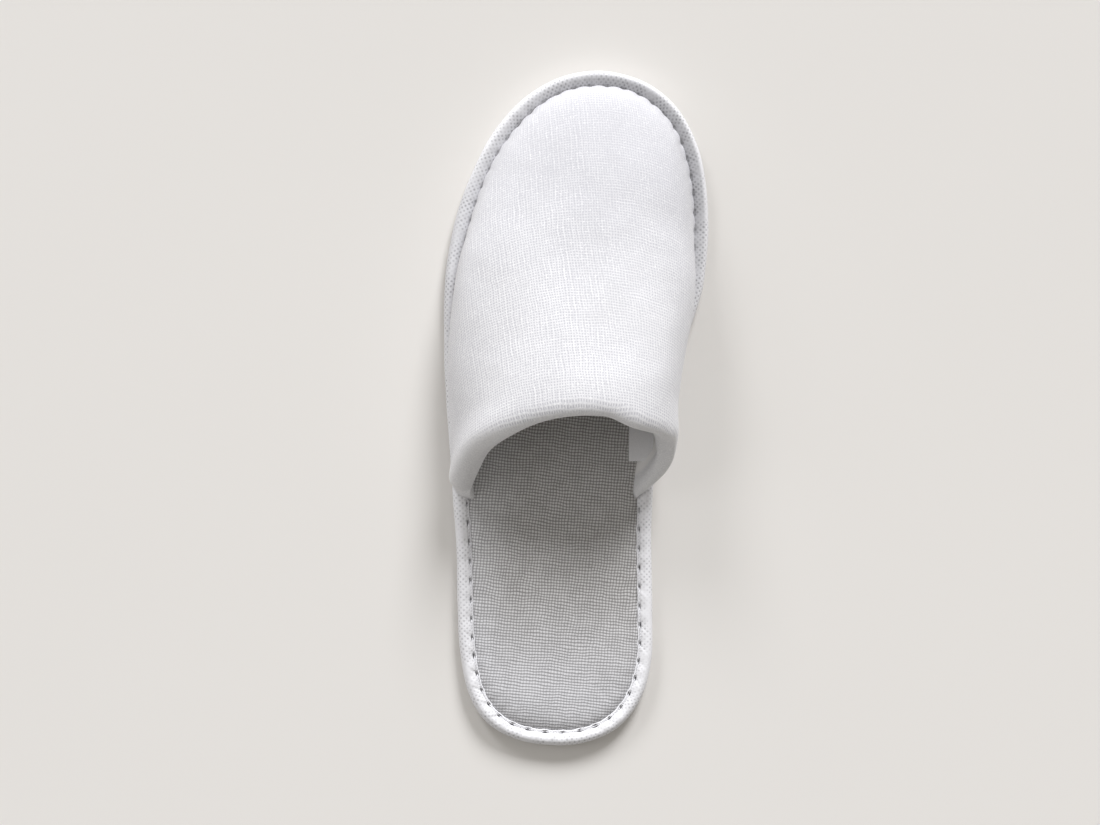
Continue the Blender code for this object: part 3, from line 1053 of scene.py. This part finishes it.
def weave(finish, across, along, pitch, slubs):
    """Plain weave: how much the crosswise and the lengthwise yarns cover, from 0 in the holes to
    1 on a yarn. slubs is how far each yarn swells and thins along its length."""
    x, y = across * (1 / pitch), along * (1 / pitch)
    swell_x = finish.cloud(finish.point(x.whole() * 1.7, y * 0.3, 0.5), 1.0) - 0.5
    swell_y = finish.cloud(finish.point(y.whole() * 1.7, x * 0.3, 8.5), 1.0) - 0.5
    lengthwise = (x * math.pi).sine().size().power(0.7) * (0.92 + swell_x * slubs)
    crosswise = (y * math.pi).sine().size().power(0.7) * (0.92 + swell_y * slubs)
    return crosswise, lengthwise


def upper_finish():
    """Fine weave, ribbed along the lateral side and barred across the medial one. It fades to
    felted cloth at the collar, and the lining inside is plain."""
    finish = Finish("white_ribbed_cloth", (0.86, 0.86, 0.88), 0.92)
    glow = {
        "Sheen Weight": 0.15,
        "Sheen Roughness": 0.5,
        "Subsurface Weight": 0.10,
        "Subsurface Scale": 0.0015,
        "Subsurface Radius": (1.0, 1.0, 1.0),
    }
    finish.set(finish.shader, glow)
    where, place = finish.cloth(), finish.place()
    across, along, _ = finish.axes(where)
    across = across + finish.cloud(where, 9.0) * 1.8 + finish.cloud(where, 2.6) * 0.3
    along = along + finish.cloud(where, 12.0) * 1.8 + finish.cloud(where, 3.1) * 0.3
    woven = finish.mark("weave")
    to_lateral = across.between(14.0, -14.0)
    crosswise, lengthwise = weave(finish, across, along, UPPER_PITCH, slubs=0.22)
    cover = crosswise.maths("MAXIMUM", lengthwise)
    ribs = (across * (2 * math.pi / RIB_PITCH)).sine() * to_lateral
    bars = (along * (2 * math.pi / BAR_PITCH)).sine() * (1 - to_lateral)
    faint = (ribs + bars * 0.6) * finish.cloud(place, 7.0).between(0.35, 0.65)
    pattern = cover.between(0.45, 1.0) * 0.8 + faint * 0.14
    fuzz = finish.cloud(place, 0.55, 3.0)
    finish.relief(woven * pattern * 0.04 + fuzz * 0.04)

    holes = woven * (0.9 - pattern) * 0.9
    specks = finish.cloud(place, 0.8, 1.0).between(0.58, 0.72)
    mottle = finish.cloud(place, 24.0, 3.0)
    # painted shade: the cloth is coloured darker towards the toe, where it faces the lamps more
    at_toe = finish.axes(place)[1].between(30.0, 120.0)
    shade = 1 - holes - (0.6 - fuzz) * 0.9 - mottle * 0.2 - at_toe * 0.27
    shade = shade + specks * 0.25 - 0.08
    cloth = finish.blend(shade.between(-0.1, 1.1), (0.56, 0.56, 0.59), (0.925, 0.925, 0.93))
    finish.colour(finish.mark("lining"), cloth, (0.97, 0.96, 0.95))
    return finish.material


def footbed_finish():
    """Open plain weave, its crosswise yarns wavy and proud. Its holes and yarns are paler at the
    heel
    and along the outer side: painted light where light reaches it past the collar, and the darker
    rest is painted shade under the upper."""
    finish = Finish("white_open_weave", (0.7, 0.7, 0.72), 0.95)
    where = finish.place()
    across, along, _ = finish.axes(where)
    across = across + finish.cloud(where, 14.0) * 1.7 + finish.cloud(where, 3.5) * 0.45
    along = along + finish.cloud(where, 15.0) * 2.6 + finish.cloud(where, 4.1) * 0.7
    crosswise, lengthwise = weave(finish, across, along, FOOTBED_PITCH, slubs=0.3)
    to_heel = along.between(-66.0, -128.0)
    # painted light: 1 at the heel and half along the lateral border, where light comes in past the
    # collar; 0 under the upper, painted shade
    painted_light = (to_heel + across.between(-10.0, -30.0) * 0.5).maths("MINIMUM", 1.0)
    crossing = crosswise * lengthwise * 0.35
    cover = crossing + crosswise * (0.38 + to_heel * 0.2) + lengthwise * (0.27 - to_heel * 0.2)
    fuzz = finish.cloud(where, 0.5, 3.0)
    finish.relief(crosswise * 0.08 + lengthwise * 0.03 + fuzz * 0.05)
    open_here = finish.cloud(where, 5.0).between(0.3, 0.7)
    tone = (cover - open_here * 0.06).between(0.16, 0.98) * 0.95 + (fuzz - 0.5) * 0.5
    # holes and yarns go from their painted-shade colour to their painted-light colour
    holes = finish.blend(painted_light, (0.25, 0.243, 0.235), (0.36, 0.36, 0.37))
    yarns = finish.blend(painted_light, (0.64, 0.63, 0.625), (0.79, 0.79, 0.81))
    finish.colour(tone.between(0.0, 1.0), holes, yarns)
    return finish.material


def tape_finish():
    """Bonded tape pressed with small diamond points, in patches. Its raw edge has none. Its needle
    gaps and the band beside the seam are coloured darker: painted shade."""
    finish = Finish("white_bonded_tape", (0.8, 0.8, 0.82), 0.8)
    where = finish.cloth()
    along, across, _ = finish.axes(where)
    wobble, sway = finish.cloud(where, 5.0) * 1.2, finish.cloud(where, 4.0) * 1.2
    one = ((along + across + wobble) * (math.pi / POINT_PITCH)).sine()
    other = ((along - across + sway) * (math.pi / POINT_PITCH)).sine()
    fibres = finish.cloud(where, 0.5, 3.0)
    raw_edge = finish.mark("raw_edge")
    patches = finish.cloud(where, 7.0).between(0.25, 0.65) * (1 - raw_edge)
    points = ((one * other).size() + (fibres - 0.5) * 0.8).between(0.30, 1.05) * patches
    finish.relief(fibres * 0.05 - points * 0.06)
    # painted shade: the needle gaps go nearly black and the tape darkens beside the sewn-in upper
    shaded = (1 - finish.mark("painted_hole_shade") * 0.9) * (1 - finish.mark("painted_seam_shade") * 0.45)
    tone = (1 - points * 0.4) * (0.80 + fibres * 0.26 + raw_edge * 0.12) * shaded
    finish.colour(tone.between(0.0, 1.0), (0.10, 0.10, 0.11), (0.86, 0.86, 0.88))
    return finish.material


def thread_finish():
    finish = Finish("white_thread", (0.85, 0.85, 0.87), 0.6)
    where = finish.cloth()
    along, around, _ = finish.axes(where)
    twist = (along * 5.0 + around * 4.0).sine() * 0.5 + 0.5
    finish.relief(twist * 0.05)
    finish.colour(twist, (0.62, 0.62, 0.64), (0.88, 0.88, 0.90))
    return finish.material


def foam_finish():
    finish = Finish("pale_foam", (0.72, 0.72, 0.69), 0.7)
    where = finish.place()
    grain = finish.cloud(where, 0.6, 4.0)
    finish.relief(grain * 0.06)
    tone = grain * 0.6 + finish.cloud(where, 18.0) * 0.4
    finish.colour(tone, (0.60, 0.60, 0.57), (0.78, 0.78, 0.75))
    return finish.material


def lining_finish():
    finish = Finish("white_lining", (0.84, 0.84, 0.86), 0.92)
    where = finish.place()
    felt = finish.cloud(where, 0.6, 4.0)
    finish.relief(felt * 0.06)
    finish.colour(felt, (0.76, 0.76, 0.78), (0.90, 0.90, 0.91))
    return finish.material


def floor_finish():
    finish = Finish("pale_floor", (0.80, 0.79, 0.765), 0.7)
    where = finish.place()
    finish.colour(finish.cloud(where, 300.0), (0.742, 0.722, 0.688), (0.767, 0.747, 0.713))
    return finish.material


def dress(material, *pieces):
    for piece in pieces:
        piece.data.materials.clear()
        piece.data.materials.append(material)


# ------------------------ camera, floor and light


def make_camera():
    """Above the slipper and a little to its lateral side, turned so that the toe leans right. Its
    offset slides it sideways, so the slipper stands a little off the middle of the view."""
    tip, roll = CAMERA_TIP, CAMERA_ROLL
    right = Vector((math.cos(tip) * math.cos(roll), math.sin(roll), math.sin(tip) * math.cos(roll)))
    back = Vector((-math.sin(tip), 0, math.cos(tip)))
    up = back.cross(right)
    place = back * CAMERA_DISTANCE - right * CAMERA_OFFSET[0] - up * CAMERA_OFFSET[1]
    place.x += SHOE_AXIS
    data = bpy.data.cameras.new("camera")
    data.lens, data.sensor_width = CAMERA_LENS, SENSOR
    data.clip_start, data.clip_end = 0.05, 20.0
    camera = bpy.data.objects.new("camera", data)
    bpy.context.scene.collection.objects.link(camera)
    turned = Matrix((right, up, back)).transposed().to_4x4()
    camera.matrix_world = Matrix.Translation(place * MM) @ turned
    bpy.context.scene.camera = camera


def make_floor():
    bpy.ops.object.select_all(action="DESELECT")
    bpy.ops.mesh.primitive_plane_add(size=8.0, location=(0, 0, 0))
    floor = bpy.context.object
    floor.name = "floor"
    dress(floor_finish(), floor)


def add_lamp(name, bearing, elevation, width, strength, colour):
    """A far lamp, as wide as the angle that it fills from here."""
    data = bpy.data.lights.new(name, "SUN")
    data.angle, data.energy, data.color = math.radians(width), strength, colour
    lamp = bpy.data.objects.new(name, data)
    bpy.context.scene.collection.objects.link(lamp)
    turn, lift = math.radians(bearing), math.radians(elevation)
    towards = Vector(
        (math.sin(turn) * math.cos(lift), math.cos(turn) * math.cos(lift), math.sin(lift))
    )
    lamp.location = towards
    lamp.rotation_mode = "QUATERNION"
    lamp.rotation_quaternion = towards.to_track_quat("Z", "Y")


def make_light():
    world = bpy.data.worlds.new("studio")
    bpy.context.scene.world = world
    bpy.context.scene.view_settings.view_transform = "Standard"
    world.use_nodes = True
    sky = world.node_tree.nodes["Background"]
    sky.inputs["Color"].default_value = (*ROOM_LIGHT, 1)
    sky.inputs["Strength"].default_value = ROOM_STRENGTH
    for lamp in LAMPS:
        add_lamp(*lamp)


def main():
    make_camera()
    make_floor()
    make_light()
    dress(foam_finish(), make_outsole(), make_tread())
    dress(footbed_finish(), make_insole())
    dress(upper_finish(), make_upper())
    dress(tape_finish(), make_tape())
    dress(thread_finish(), *make_stitches())
    dress(lining_finish(), make_tab())


main()
